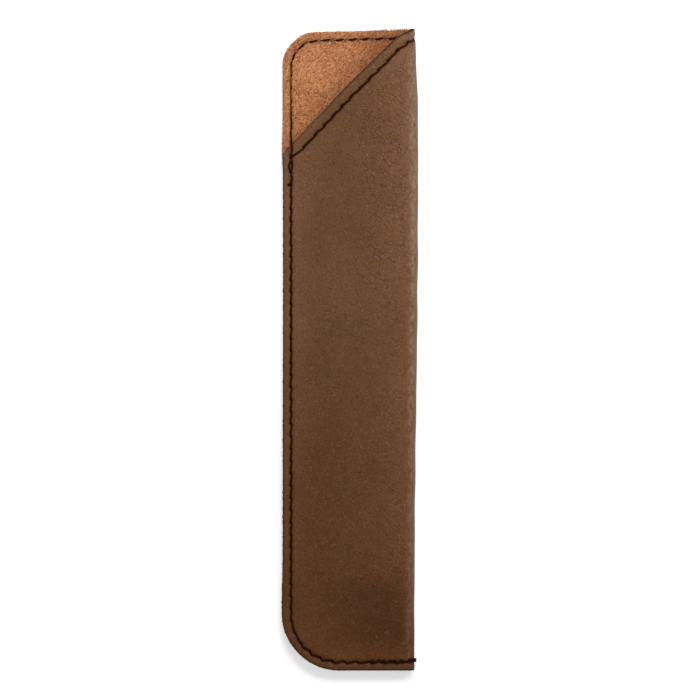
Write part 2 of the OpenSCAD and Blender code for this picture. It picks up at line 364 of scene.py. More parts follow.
pattern = {
    "edgeStep": 0.45,        # mm along the cut edge
    "borders": (0.12, 0.32, 0.7, 1.15, 1.55, 1.83, 2.1, 2.37, 2.65, 3.05, 3.6, 4.2),
    "panelStep": 1.15,       # over the panels
    "foldStep": (0.5, 1.1),  # across and along the fold
    "fineStep": 0.08,        # of the outline that distances are measured from
    "holeCorners": 10,
    "collar": 1.75,          # ring of points round each hole, in radii of the hole
}


def nearest(points, places):
    # distance from each place to the nearest of the points
    tree = KDTree(len(points))
    for i, (x, y) in enumerate(points):
        tree.insert((x, y, 0), i)
    tree.balance()
    return np.array([tree.find((x, y, 0))[2] for x, y in places])


def inside(places, loop):
    x, y = places[:, 0, None], places[:, 1, None]
    x0, y0 = loop.T
    x1, y1 = np.roll(loop, -1, 0).T
    level = np.where(y1 == y0, 1, y1 - y0)
    crossed = ((y0 > y) != (y1 > y)) & (x < x0 + (y - y0) / level * (x1 - x0))
    return crossed.sum(1) % 2 == 1


def ringPoints(centres, radius, count, turn=0):
    a = np.linspace(0, 2 * math.pi, count, endpoint=False) + turn
    return (centres[:, None] + radius * np.stack([np.cos(a), np.sin(a)], 1)).reshape(-1, 2)


def makePattern():
    outline = patternOutline(pattern["edgeStep"])
    fineOutline = patternOutline(pattern["fineStep"])
    inward = np.roll(outline, -1, 0) - np.roll(outline, 1, 0)
    inward = np.stack([-inward[:, 1], inward[:, 0]], 1)
    inward /= np.linalg.norm(inward, axis=1, keepdims=True)
    holes = np.zeros((0, 2))
    for stitches in (hem, frontSeam, backSeam):
        found = stitches.at(stitches.holes)
        found = found[inside(found, outline)]
        found = found[nearest(fineOutline, found) > 1]
        if len(holes):
            found = found[nearest(holes, found) > 2.2 * stitching["hole"]]
        holes = np.concatenate([holes, found])
    count = pattern["holeCorners"]
    rims = ringPoints(holes, stitching["hole"], count)
    collars = ringPoints(holes, pattern["collar"] * stitching["hole"], count, math.pi / count)
    step = pattern["panelStep"]
    foldW, foldY = pattern["foldStep"]
    low, high = outline.min(0), outline.max(0)
    foldGrid = np.meshgrid(np.arange(-0.5, foldSpan + 0.6, foldW), np.arange(low[1], high[1], foldY))
    panelGrid = np.meshgrid(np.arange(low[0], high[0], step), np.arange(low[1], high[1], step * 0.866))
    panelGrid[0][::2] += step / 2
    fold = np.stack([g.ravel() for g in foldGrid], 1)
    panels = np.stack([g.ravel() for g in panelGrid], 1)
    panels = panels[(panels[:, 0] < -1) | (panels[:, 0] > foldSpan + 1)]
    groups = [(collars, 0.12)]
    for d in pattern["borders"]:
        loop = outline + d * inward
        loop = loop[nearest(fineOutline, loop) > 0.93 * d]
        groups.append((loop, min(0.24, 0.7 * d + 0.02)))
    deepest = pattern["borders"][-1]
    for grid, apart in ((fold, 0.3), (panels, 0.75 * step)):
        grid = grid[inside(grid, outline)]
        grid = grid[nearest(fineOutline, grid) > deepest + 0.3]
        groups.append((grid, apart))
    kept = np.concatenate([outline, rims])
    for points, apart in groups:
        kept = np.concatenate([kept, points[nearest(kept, points) > apart]])
    loops = [list(range(len(outline)))]
    loops += (len(outline) + np.arange(len(rims)).reshape(-1, count)).tolist()
    made = delaunay_2d_cdt([tuple(map(float, p)) for p in kept], [], loops, 1, 1e-5)
    flat = np.array([tuple(v) for v in made[0]])
    triangles = np.array([f for f, source in zip(made[2], made[5]) if source == [0]])
    used, corners = np.unique(triangles, return_inverse=True)
    flat, triangles = flat[used], corners.reshape(-1, 3)
    return flat, triangles, nearest(fineOutline, flat), nearest(holes, flat)


flat, triangles, fromEdge, fromHole = makePattern()
print("flat pattern:", len(flat), "points,", len(triangles), "triangles")

# Materials. A hex colour is what the eye sees, a size is in mm.


def linear(hexColour):
    parts = [int(hexColour[i:i + 2], 16) / 255 for i in (1, 3, 5)]
    return (*(c / 12.92 if c <= 0.04045 else ((c + 0.055) / 1.055) ** 2.4 for c in parts), 1)


def perSize(size):
    return 1 / (size * mm)      # a pattern's scale from the size of one of its marks


def perMark(width, length, angle):
    # a mapping's place, turn and scale for marks of that size, at that angle from the bottom edge
    return (0, 0, 0), (0, 0, math.radians(angle)), (length * mm, width * mm, width * mm)


def addNode(tree, kind, inputs=(), **settings):
    # inputs are values, nodes or their outputs, by name or in the order of the node's open sockets
    node = tree.nodes.new("ShaderNode" + kind)
    for name, value in settings.items():
        setattr(node, name, value)
    named = isinstance(inputs, dict)
    sockets = [node.inputs[name] for name in inputs] if named else [s for s in node.inputs if s.enabled]
    for socket, value in zip(sockets, inputs.values() if named else inputs):
        if isinstance(value, bpy.types.Node):
            value = next(output for output in value.outputs if output.enabled)
        if isinstance(value, bpy.types.NodeSocket):
            tree.links.new(value, socket)
        else:
            socket.default_value = value
    return node


def emptyTree(owner):
    owner.use_nodes = True
    owner.node_tree.nodes.clear()
    return owner.node_tree


def newMaterial(name, attributes=()):
    # with the place on the object and the values painted on its points
    material = bpy.data.materials.new(name)
    tree = emptyTree(material)
    place = addNode(tree, "TexCoord").outputs["Object"]
    return material, tree, place, *(
        addNode(tree, "Attribute", attribute_name=name).outputs["Fac"] for name in attributes)


def finishMaterial(material, m, layers, height=None, **varied):
    # each layer's colour lies over the last by its share, what is the same all over is set on the shader
    tree, colour = material.node_tree, linear(m["colour"])
    for share, name in layers:
        colour = addNode(tree, "Mix", (share, colour, linear(m[name])), data_type="RGBA")
    inputs = {name: linear(v) if isinstance(v, str) else v for name, v in m["shader"].items()}
    inputs.update(varied, **{"Base Color": colour})
    if height:
        bump = dict(zip(("Strength", "Distance"), m["bump"]), Height=height)
        inputs["Normal"] = addNode(tree, "Bump", bump)
    addNode(tree, "OutputMaterial", (addNode(tree, "BsdfPrincipled", inputs),))
    return material


# Polyurethane leatherette, embossed with a fine grain and printed brown: matt, faintly greyish where it
# turns away, with pores, light flecks, shallow clouding and short creases beside the fold. Its colour also
# carries painted shade in the creases, towards the foot and at holes, stitches and edge, and a painted
# highlight along the fold
leatherette = {
    "colour": "#5e3d25",
    "light": "#724e33",
    "foot": "#593011",          # painted shade: darker towards the foot and along the fold's side
    "highlight": "#a4876d",           # painted highlight along the fold
    "pore": "#3c2413",
    "fleck": "#967257",
    # painted shade round the needle holes, along the stitches and at the cut edge
    "shadeTone": "#2c170b",
    # painted shade in the creases, over their embossed relief
    "crease": "#4a2c18",
    "shares": {"fleck": 0.38, "pore": 0.65, "shoulderHighlight": 0.13, "crease": 0.5, "highlight": 0.56},
    "cloud": 14,
    "mottle": 1.6,
    "grain": 0.5,               # finer on the real one, but it wouldn't show
    "streak": (0.45, 1.8, 76),  # width, length and angle of the streaks in the painted highlight
    "cell": (0.85, 1.7, -52),   # and of the cells between the creases
    "creaseBend": (1.6, 1.1),   # length of the waves that bend the creases, and how far these reach
    "creaseBreak": 2.4,         # size of the patches without creases
    "bump": (0.8, 0.11 * mm),   # share and height of the embossing, in metres
    "roughness": (0.47, 0.58),
    # the sheen is the haze of the soft finish, seen only where it turns away
    "shader": {"IOR": 1.46, "Specular IOR Level": 0.14, "Sheen Weight": 0.2, "Sheen Roughness": 0.3,
               "Sheen Tint": "#f0dccf"},
}


def makeLeatherette():
    m, shares = leatherette, leatherette["shares"]
    painted = ("crease", "footShade", "foldHighlight", "paintedShade")
    material, tree, place, crease, footShade, foldHighlight, paintedShade = newMaterial("leatherette_embossed", painted)
    cloud = addNode(tree, "TexNoise", (place, perSize(m["cloud"]), 3))
    mottle = addNode(tree, "TexNoise", (place, perSize(m["mottle"]), 4, 0.62))
    grain = addNode(tree, "TexNoise", (place, perSize(m["grain"])))
    clouded = addNode(tree, "Math", (addNode(tree, "Math", (cloud, mottle)), grain))
    uneven = addNode(tree, "MapRange", (clouded, 1.25, 1.8, 1.15, 0.55))
    # embossed creases: the edges of stretched cells, bent by a noise and broken up by another
    wave, reach = m["creaseBend"]
    bent = addNode(tree, "TexNoise", (place, perSize(wave))).outputs["Color"]
    swayed = addNode(tree, "VectorMath", (bent, [reach * mm] * 3, place), operation="MULTIPLY_ADD")
    turned = addNode(tree, "Mapping", (swayed, *perMark(*m["cell"])), vector_type="TEXTURE")
    cells = addNode(tree, "TexVoronoi", {"Vector": turned, "Scale": 1}, feature="DISTANCE_TO_EDGE")
    valley = addNode(tree, "MapRange", (cells, 0.15, 0))
    patches = addNode(tree, "TexNoise", (place, perSize(m["creaseBreak"])))
    broken = addNode(tree, "MapRange", (patches, 0.42, 0.6))
    valleys = addNode(tree, "Math", (valley, broken), operation="MULTIPLY")
    creased = addNode(tree, "Math", (valleys, crease), operation="MULTIPLY")
    # painted highlight on each crease's shoulder
    beside = addNode(tree, "MapRange", (cells, 0.34, 0.2))
    shoulderHighlight = addNode(tree, "Math", (beside, valley), operation="SUBTRACT")
    shoulders = addNode(tree, "Math", (shoulderHighlight, broken), operation="MULTIPLY")
    shoulderLight = addNode(tree, "Math", (shoulders, crease), operation="MULTIPLY")
    along = addNode(tree, "Mapping", (place, *perMark(*m["streak"])), vector_type="TEXTURE")
    streaks = addNode(tree, "Math", (addNode(tree, "TexNoise", (along, 1, 3, 0.6)), mottle))
    spread = addNode(tree, "MapRange", (streaks, 0.78, 1.3, 0, shares["highlight"]))
    layers = (
        (addNode(tree, "MapRange", (clouded, 1.1, 1.9)), "light"),
        # painted shade towards the foot and along the side of the fold
        (addNode(tree, "Math", (footShade, uneven), operation="MULTIPLY"), "foot"),
        (addNode(tree, "MapRange", (grain, 0.62, 0.76, 0, shares["fleck"])), "fleck"),
        (addNode(tree, "MapRange", (grain, 0.39, 0.27, 0, shares["pore"])), "pore"),
        # painted highlight on the crease shoulders, painted shade in the creases
        (addNode(tree, "Math", (shoulderLight, shares["shoulderHighlight"]), operation="MULTIPLY"), "fleck"),
        (addNode(tree, "Math", (creased, shares["crease"]), operation="MULTIPLY"), "crease"),
        # painted highlight along the fold
        (addNode(tree, "Math", (spread, foldHighlight), operation="MULTIPLY"), "highlight"),
        # painted shade round the holes, along the stitches and at the cut edge
        (paintedShade, "shadeTone"),
    )
    pits = addNode(tree, "Math", (grain, 0.8), operation="MULTIPLY")
    height = addNode(tree, "Math", (pits, creased), operation="SUBTRACT")
    rough = addNode(tree, "MapRange", (mottle, 0.3, 0.7, *m["roughness"]))
    return finishMaterial(material, m, layers, height, Roughness=rough)


# Raw cut edge of the leatherette, burnished over its corner: dyed backing cloth, dull, darker than the face
cutEdge = {
    "colour": "#25130a",
    "light": "#40281a",
    "fibre": 0.3,
    "bump": (0.5, 0.05 * mm),
    "shader": {"Roughness": 0.85, "Specular IOR Level": 0},
}


def makeCutEdge():
    material, tree, place = newMaterial("leatherette_cut_edge")
    fibre = addNode(tree, "TexNoise", (place, perSize(cutEdge["fibre"]), 3))
    tone = addNode(tree, "MapRange", (fibre, 0.35, 0.7))
    return finishMaterial(material, cutEdge, [(tone, "light")], fibre)


# Microfibre suede, napped by brushing: no gloss, soft, with short streaks along the brushing and dark pits
suede = {
    "colour": "#985c38",
    "light": "#cf9165",
    "deep": "#743f22",
    "pits": 0.5,                 # how dark the pits are
    "stroke": (0.26, 0.85, 50),  # width, length and angle of the brush strokes
    "cloud": 7,
    "grain": 0.32,               # the real fibres are finer, but they wouldn't show
    "bump": (0.75, 0.12 * mm),
    "shader": {"Roughness": 0.93, "Specular IOR Level": 0.1, "Sheen Weight": 0.12, "Sheen Tint": "#ffc08f"},
}


def makeSuede():
    m = suede
    material, tree, place, shade, paintedShade = newMaterial("suede_microfibre_brushed", ("shade", "paintedShade"))
    brushed = addNode(tree, "Mapping", (place, *perMark(*m["stroke"])), vector_type="TEXTURE")
    stroke = addNode(tree, "TexNoise", (brushed, 1, 3, 0.6))
    grain = addNode(tree, "TexNoise", (place, perSize(m["grain"]), 2, 0.6))
    cloud = addNode(tree, "TexNoise", (place, perSize(m["cloud"]), 3))
    clouded = addNode(tree, "MapRange", (cloud, 0.3, 0.7, -0.06, 0.06))
    both = addNode(tree, "Math", (addNode(tree, "Math", (stroke, grain)), clouded))
    tone = addNode(tree, "MapRange", (both, 0.79, 1.21))
    pits = addNode(tree, "MapRange", (both, 0.84, 0.68, 0, m["pits"]))
    # the last layer is painted shade on the nap
    layers = ((tone, "light"), (pits, "deep"), (shade, "deep"), (paintedShade, "deep"))
    return finishMaterial(material, m, layers, both)


# Polyester sewing thread, three plies twisted and dyed dark brown: satin, with painted shade in its valleys
# and where it dives below the face
thread = {
    "colour": "#351506",
    "valley": "#160400",
    "pale": "#8c5e38",  # paler, on the under thread between two heights
    "fibre": 0.12,
    "fibreShade": 0.35,
    "shader": {"Roughness": 0.6, "Specular IOR Level": 0.03},
}


def makeThread():
    m = thread
    material, tree, place, paleShare, depth = newMaterial("thread_polyester_twisted", ("paleShare", "depth"))
    fibre = addNode(tree, "TexNoise", (place, perSize(m["fibre"])))
    shade = addNode(tree, "MapRange", (fibre, 0.3, 0.7, 0, m["fibreShade"]))
    return finishMaterial(material, m, ((shade, "valley"), (paleShare, "pale"), (depth, "valley")))


coverFace, coverEdge = makeLeatherette(), makeCutEdge()
suedeFace, threadFinish = makeSuede(), makeThread()
print("materials ready")

# Sheets

relief = {
    "troughWidth": 0.42,  # the thread draws the cover down along the line
    "trough": 0.1,
    "backTrough": 0.44,   # on the back the thread lies wholly below the face
    "dimple": 0.2,
    "dimpleWidth": 0.42,
    "puff": 0.05,         # the cover swells between the line and the edge
    "coverRound": 0.2,    # softened corner of the cut edge
    "liningRound": 0.16,
    "napTrough": 0.14,
    "napTroughWidth": 0.45,
    "napDimple": 0.12,
    "ripple": 0.09,       # the front panel isn't quite even
    "ragged": 0.07,       # the suede's cut edge wanders
}


def cornerDrop(distance, radius):
    gap = np.clip(radius - distance, 0, radius)
    return radius - np.sqrt(radius ** 2 - gap ** 2)


def frontShare(w, y):
    # 0 where the threads lie sunk: on the back panel, and for the hem to halfway round the fold
    return ease((w - 0.5 * foldSpan * (y > mouthLow)) / 3)


def ripple(w, y):
    x = foldSpan + roundX(y) - w
    calm = ease((w - 0.3 * foldSpan) / 4) * ease((y - 3) / 12)
    calm *= ease((x - sleeve["margin"] + 1 + 4 * (w < foldSpan)) / 6)
    wave = np.sin(0.21 * y + 0.35 * x) * np.sin(0.13 * y - 0.22 * x + 1.3)
    wave += 0.6 * np.sin(0.47 * y + 0.9) * np.sin(0.3 * x)
    return relief["ripple"] * calm * wave


def coverDrop(w, y, fromLine, edge, hole):
    share = frontShare(w, y)
    trough = relief["backTrough"] + (relief["trough"] - relief["backTrough"]) * share
    lift = relief["puff"] * share * (bell(edge - 1.1, 0.5) + 0.6 * bell(fromLine - 1.2, 0.5))
    return (cornerDrop(edge, relief["coverRound"]) + trough * bell(fromLine, relief["troughWidth"])
            + relief["dimple"] * bell(hole, relief["dimpleWidth"]) - lift)


def liningDrop(fromLine, edge, hole):
    trough = relief["napTrough"] * bell(fromLine, relief["napTroughWidth"])
    dimple = relief["napDimple"] * bell(hole, relief["dimpleWidth"])
    return cornerDrop(edge, relief["liningRound"]) + trough + dimple


originMove = np.array([coverLow[0], coverLow[1], 0])


def makeMesh(name, points, faces):
    # points in mm in the sleeve's own drawing become metres in the frame
    mesh = bpy.data.meshes.new(name)
    points = (np.asarray(points) + originMove) * mm
    mesh.from_pydata(points.tolist(), [], [tuple(map(int, f)) for f in faces])
    mesh.polygons.foreach_set("use_smooth", [True] * len(mesh.polygons))
    mesh.update()
    piece = bpy.data.objects.new(name, mesh)
    scene.collection.objects.link(piece)
    return piece


def setAttribute(piece, name, values):
    attribute = piece.data.attributes.new(name, "FLOAT", "POINT")
    attribute.data.foreach_set("value", np.asarray(values, np.float32))


def napShade(w, y):
    # painted shade on the nap: under the mouth's edge, at the top and towards the fold
    under = bell(np.maximum(0, y - mouthHeight(w + roundX(y))), 6)
    return 0.26 * under + 0.1 * ease((y - 152) / 3) + 0.12 * ease((w + 13) / 10)


def makeSheet(name, inner, outer, shift, materials, paintedShade):
    # inner and outer are distances out of the lining's inner face
    w, y = (flat + shift).T
    base, out = innerAt(w, y), outwardAt(w, y)
    base = base + ripple(w, y)[:, None] * out
    points = np.concatenate([base + inner[:, None] * out, base + outer[:, None] * out])
    count = len(flat)
    edges = np.concatenate([triangles[:, [0, 1]], triangles[:, [1, 2]], triangles[:, [2, 0]]])
    a, b = edges.T
    a, b = edges[~np.isin(a * count + b, b * count + a)].T  # the cut edge has no triangle beyond it
    faces = [*triangles, *(triangles[:, ::-1] + count), *np.stack([b, a, a + count, b + count], 1)]
    piece = makeMesh(name, points, faces)
    for material in materials:
        piece.data.materials.append(material)
    # the last material is for the cut edge and for the rounded corner beside it
    slots, last = np.zeros(len(faces), np.int32), len(materials) - 1
    slots[2 * len(triangles):] = last
    corner = fromEdge[triangles].max(1) < relief["coverRound"]
    slots[len(triangles):2 * len(triangles)] = last * corner
    piece.data.polygons.foreach_set("material_index", slots)
    piece.data.set_sharp_from_angle(angle=math.radians(50))
    # painted shade of the sheet, at most this strong
    paintedShade = np.clip(paintedShade, 0, 0.9)
    setAttribute(piece, "paintedShade", np.tile(paintedShade, 2))
    return piece


lines = np.concatenate([s.at(np.arange(s.holes[0], s.holes[-1], 0.1)) for s in (hem, frontSeam, backSeam)])
lines = lines[inside(lines, patternOutline(pattern["edgeStep"]))]
fromLine = nearest(lines, flat)
w, y = flat.T
rng = np.random.default_rng(handmade["seed"])
coverOuter = wall - coverDrop(w, y, fromLine, fromEdge, fromHole)
liningInner = liningDrop(fromLine, fromEdge, fromHole)
joint = np.full(len(flat), sleeve["liningThick"])
wander = relief["ragged"] * rng.standard_normal(flat.shape) * (fromEdge < 0.05)[:, None]

# Painted shade and painted highlight, and where creases show, on the sheets' points: share and reach of a
# band, or place and width of a change.
# On the fold, places and reaches are parts of its width.
shadeAndHighlight = {
    "holes": (0.75, 0.42),
    "stitches": (0.45, 0.3),
    "edge": (1, 0.28),
    "edgeSide": 0.4,               # less of it along the side, below this change
    "edgeTop": (136, 10),
    "foot": (0.08, 2.5),
    "footHeight": 6.2,
    "creases": (0.75, 10),         # beside the fold
    "creaseStart": (70, 30),
    "fewCreases": (0.3, 0.15),     # elsewhere on the front, and everywhere
    "footShade": (0.85, 105, 95),  # painted shade, darker downwards: share, start and width
    # painted shade along the side of the fold
    "foldShade": (0.75, 0.085),
    "foldPlace": 0.52,
    "highlight": (1, 0.75),              # painted highlight, a line inside the fold's outline
    "highlightPlace": 1.3,
    "highlightFoot": (0.25, 35, 25),     # further in towards the foot, and less
    "highlightLow": 0.6,
    "highlightRise": (25, 50),
    "haze": (0.3, 0.14),           # a broader painted highlight round the fold
    "hazePlace": 0.72,
    "hazeRise": (60, 60),
    "mouthLess": (0.75, 146, 10),  # both fade beside the mouth
    # painted shade on the nap round the holes and along the stitches
    "napHoles": (0.25, 0.4),
    "napStitches": (0.2, 0.3),
}


def band(distance, share, reach):
    return share * bell(distance, reach)


def grown(v, place, width):
    return ease((v - place) / width)


def foldBand(place, share, reach):
    return band(w - place * foldSpan, share, reach * foldSpan)


side, low = shadeAndHighlight["edgeSide"], shadeAndHighlight["highlightLow"]
# painted shade round the needle holes, along the stitch lines, at the cut edge and over the foot's seam
paintedCoverShade = band(fromHole, *shadeAndHighlight["holes"]) + band(fromLine, *shadeAndHighlight["stitches"])
paintedCoverShade += band(fromEdge, *shadeAndHighlight["edge"]) * (side + (1 - side) * grown(y, *shadeAndHighlight["edgeTop"]) * (w > 4))
paintedCoverShade += band(y - shadeAndHighlight["footHeight"], *shadeAndHighlight["foot"]) * (w > foldSpan)
more, plain = shadeAndHighlight["fewCreases"]
creased = band(w - foldSpan - 2, *shadeAndHighlight["creases"]) * grown(y, *shadeAndHighlight["creaseStart"])
creased += more * ease(w / 3) + plain
# painted shade: darker towards the foot, and along the side of the fold
share, place, width = shadeAndHighlight["footShade"]
footShade = share * ease((place - y) / width) * ease(w / 3)
footShade = np.maximum(footShade, foldBand(shadeAndHighlight["foldPlace"], *shadeAndHighlight["foldShade"]))
fromFold = foldX(y) - sheetAt(w, y, coverOuter)[:, 0]      # as seen from above
# painted highlight along the fold, and a broader one round it
further, place, width = shadeAndHighlight["highlightFoot"]
foldHighlight = band(fromFold - shadeAndHighlight["highlightPlace"] - further * ease((place - y) / width), *shadeAndHighlight["highlight"])
foldHighlight *= (w > 0.55 * foldSpan) * ease(y / 6) * (low + (1 - low) * grown(y, *shadeAndHighlight["highlightRise"]))
foldHighlight += foldBand(shadeAndHighlight["hazePlace"], *shadeAndHighlight["haze"]) * grown(y, *shadeAndHighlight["hazeRise"])
less, *change = shadeAndHighlight["mouthLess"]
foldHighlight *= 1 - less * grown(y, *change)
# painted shade on the lining: round the holes, along the stitches, under the mouth, at the top and towards
# the fold
paintedNapShade = band(fromHole, *shadeAndHighlight["napHoles"]) + band(fromLine, *shadeAndHighlight["napStitches"])
paintedNapShade += napShade(w, y)
cover = makeSheet("leatherette_cover", joint, coverOuter, 0, [coverFace, coverEdge], paintedCoverShade)
lining = makeSheet("suede_lining", liningInner, joint, wander, [suedeFace], paintedNapShade)
for piece, node, slot in ((cover, "cover", "leatherette"), (lining, "lining", "suede")):
    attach(piece, "root")
    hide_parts(node)
for name, values in (("crease", creased), ("footShade", footShade), ("foldHighlight", foldHighlight)):
    setAttribute(cover, name, np.tile(values, 2))
print("sheets folded:", len(cover.data.polygons), "faces each")

# Threads

sewing = {
    "plies": 3,
    "plyDepth": 0.13,          # how deep the valleys between the plies are, as a share of the radius
    "twist": 1.25,             # mm for a whole turn of the plies
    "sides": 10,
    "unevenness": 0.16,        # share by which slant and height differ from stitch to stitch
    "heave": 0.015,            # and mm by which the height and the bow do
    "bow": 0.04,
    "footBelow": 9,            # the stitches of the foot begin below this height
    "hemCorner": 152,          # the under stitches of the hem are tighter below this one
    "backSink": 0.5,           # the threads of the back lie this much lower than those of the front
    "climb": (0.25, 0.5),      # start and width of the step up over the front panel's edge
    "paleShare": (0.45, 137, 151),  # share of the paler colour on the under thread, between these heights
}


def smoothPath(points, step):
    # even points on a smooth curve through the given ones
    p = np.concatenate([[2 * points[0] - points[1]], points, [2 * points[-1] - points[-2]]])
    t = np.linspace(0, 1, 9)[:-1, None, None]
    a, b, c, d = p[:-3], p[1:-2], p[2:-1], p[3:]
    curve = 2 * b + (c - a) * t + (2 * a - 5 * b + 4 * c - d) * t ** 2
    curve = 0.5 * (curve + (3 * b - a - 3 * c + d) * t ** 3)
    curve = np.concatenate([curve.transpose(1, 0, 2).reshape(-1, points.shape[1]), points[-1:]])
    return spaced(curve, step)


def stitchRow(holes, look, rng, bows={}):
    # control points (w, y, height over the face) of the thread through a row of needle holes
    (slant, lift, crown, dive, depth), row = look, []
    for i, (first, last) in enumerate(zip(holes[:-1], holes[1:])):
        span = math.dist(first, last)
        along = (last - first) / span
        beside = np.array([-along[1], along[0]])
        vary = 1 + sewing["unevenness"] * rng.standard_normal(4)
        lean = slant * vary[0]
        high = lift * vary[1] + sewing["heave"] * rng.standard_normal()
        bow = bows.get(i, sewing["bow"] * rng.standard_normal())
        # way from the hole, share of the slant and height
        legs = ((0, 0, -depth), (0.3 * dive, 0.4, -0.42), (0.75 * dive, 0.8, -0.06 - 0.28 * dive),
                (1.5 * dive, 1, high * 0.7))
        steps = [(u, -lean * share, rise) for u, share, rise in legs]
        steps.append((0.3 * span, -0.6 * lean + 0.7 * bow, high))
        steps.append((span / 2 + 0.1 * (vary[2] - 1), bow, high + crown))
        steps.append((0.7 * span, 0.6 * lean + 0.7 * bow, high))
        steps += [(span - u, lean * share, rise) for u, share, rise in legs[:0:-1]]
        row += [(*(first + u * along + side * beside), rise) for u, side, rise in steps]
    row.append((*holes[-1], -depth))
    return np.array(row)


def sweepThread(strands, radius):
    # twisted tubes along several strands, as one mesh
    points, faces, depths, paleShares = [], [], [], []
    sides, base = sewing["sides"], 0
    around = np.arange(sides) * 2 * math.pi / sides
    cosine, sine = np.cos(around)[:, None], np.sin(around)[:, None]
    for centres, depth, paleShare in strands:
        count = len(centres)
        along = np.gradient(centres, axis=0)
        along /= np.linalg.norm(along, axis=1, keepdims=True)
        normal = np.cross(along[0], (0.3, 0.5, 0.8))
        normals = np.empty_like(along)
        for i, t in enumerate(along):
            normal = normal - np.dot(normal, t) * t
            normal /= np.linalg.norm(normal)
            normals[i] = normal
        sideways = np.cross(along, normals)
        turn = running(centres) * 2 * math.pi / sewing["twist"]
        lobes = 1 + sewing["plyDepth"] * np.cos(sewing["plies"] * (around[None] - turn[:, None]))
        taper = np.clip(np.minimum(np.arange(count), np.arange(count)[::-1]) / 2 + 0.25, 0, 1)
        r = radius * lobes * taper[:, None]
        ring = centres[:, None] + r[..., None] * (cosine * normals[:, None] + sine * sideways[:, None])
        points.append(ring.reshape(-1, 3))
        i, a = base + np.arange(count - 1)[:, None] * sides, np.arange(sides)
        b = (a + 1) % sides
        faces.append(np.stack([i + a, i + b, i + sides + b, i + sides + a], -1).reshape(-1, 4))
        # painted shade in the valleys between the plies
        valley = (1 - lobes) / sewing["plyDepth"] * 0.5 + 0.5
        depths.append(np.clip(depth[:, None] + 0.5 * valley ** 2, 0, 1).ravel())
        paleShares.append(np.repeat(paleShare, sides))
        base += count * sides
    quads = [tuple(q) for f in faces for q in f]
    start = 0
    for centres, *_ in strands:
        last = start + (len(centres) - 1) * sides
        quads.append(tuple(range(start + sides - 1, start - 1, -1)))
        quads.append(tuple(range(last, last + sides)))
        start = last + sides
    return np.concatenate(points), quads, np.concatenate(depths), np.concatenate(paleShares)


def makeThreadPiece(name, node, strands):
    points, faces, depths, paleShares = sweepThread(strands, stitching["thread"] / 2)
    piece = makeMesh(name, points, faces)
    piece.data.materials.append(threadFinish)
    setAttribute(piece, "depth", depths)
    setAttribute(piece, "paleShare", paleShares)
    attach(piece, "root")
    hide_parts(node)


def lay(row, face, paleShare=None):
    # lays a row on a face of the folded sheets, given as its distance out of the innermost one (0)
    w, y, height = smoothPath(row, stitching["lineStep"]).T
    sink = sewing["backSink"] * (1 - frontShare(w, y)) * ease((height + 0.5) / 0.4)
    out = face + (height - sink) if face > 0 else -height
    centres = innerAt(w, y) + (out + ripple(w, y))[:, None] * outwardAt(w, y)
    # painted shade where the thread dives below the face
    below = np.clip(-height / 0.35, 0, 1)
    return centres, below, paleShare(w, y) if paleShare else np.zeros(len(w))


# slant, height and middle rise of the stitches, how far from its hole the thread dives, depth of its legs
looks = {
    "hemFront": (0.17, 0.14, 0.03, 0.3, 0.72),
    "hemInside": (0.08, 0.12, 0.03, 0.86, 0.72),
    "hemInsideLow": (0.04, 0.06, 0.02, 0.5, 0.72),
    "sideSeam": (0.12, 0.1, 0.05, 0.42, 1.2),
    "footSeam": (-0.24, 0.12, 0.03, 0.4, 1.2),
    "backSeam": (0.08, 0.1, 0.02, 0.3, 1.2),
    "backtack": (0.1, 0.3, 0.08, 0.3, 1.2),
    "footTack": (0.2, 0.3, 0.1, 0.25, 0.5),
}


def paleUnderThread(w, y):
    share, low, high = sewing["paleShare"]
    return share * (w < backW(inset + 0.6, y)) * ease((y - low) / 3) * ease((high - y) / 3)


def overEdge(row, edgeY):
    # the seam's first stitch climbs from the suede over the front panel's low corner
    row, (start, width) = row.copy(), sewing["climb"]
    row[:, 2] -= (wall + sleeve["napGap"]) * ease((row[:, 1] - edgeY + start) / width)
    return row


seamHoles, backHoles, hemHoles = (s.at(s.holes) for s in (frontSeam, backSeam, hem))
footFrom = int(np.argmax(seamHoles[:, 1] < sewing["footBelow"]))
hemCorner = int(np.argmax((hemHoles[:, 0] < 0) & (hemHoles[:, 1] < sewing["hemCorner"])))
sideRow = stitchRow(seamHoles[:footFrom + 1], looks["sideSeam"], rng, {0: -0.25, 1: 0.52, 2: -0.28})
footRow = stitchRow(seamHoles[footFrom:], looks["footSeam"], rng)
cornerEdge = mouthHeight(inset)
# backtack at the mouth: back up over the first stitches, its loose end turned out to the left
tackHoles = seamHoles[3::-1] + (0.05, 0)
tack = stitchRow(tackHoles, looks["backtack"], rng, {0: 0.22, 1: 0.42, 2: 0.26})
looseEnd = np.array([(*(tackHoles[0] + (0.75, 0.35)), 0.1), (*(tackHoles[0] + (0.45, 0.05)), 0.26)])
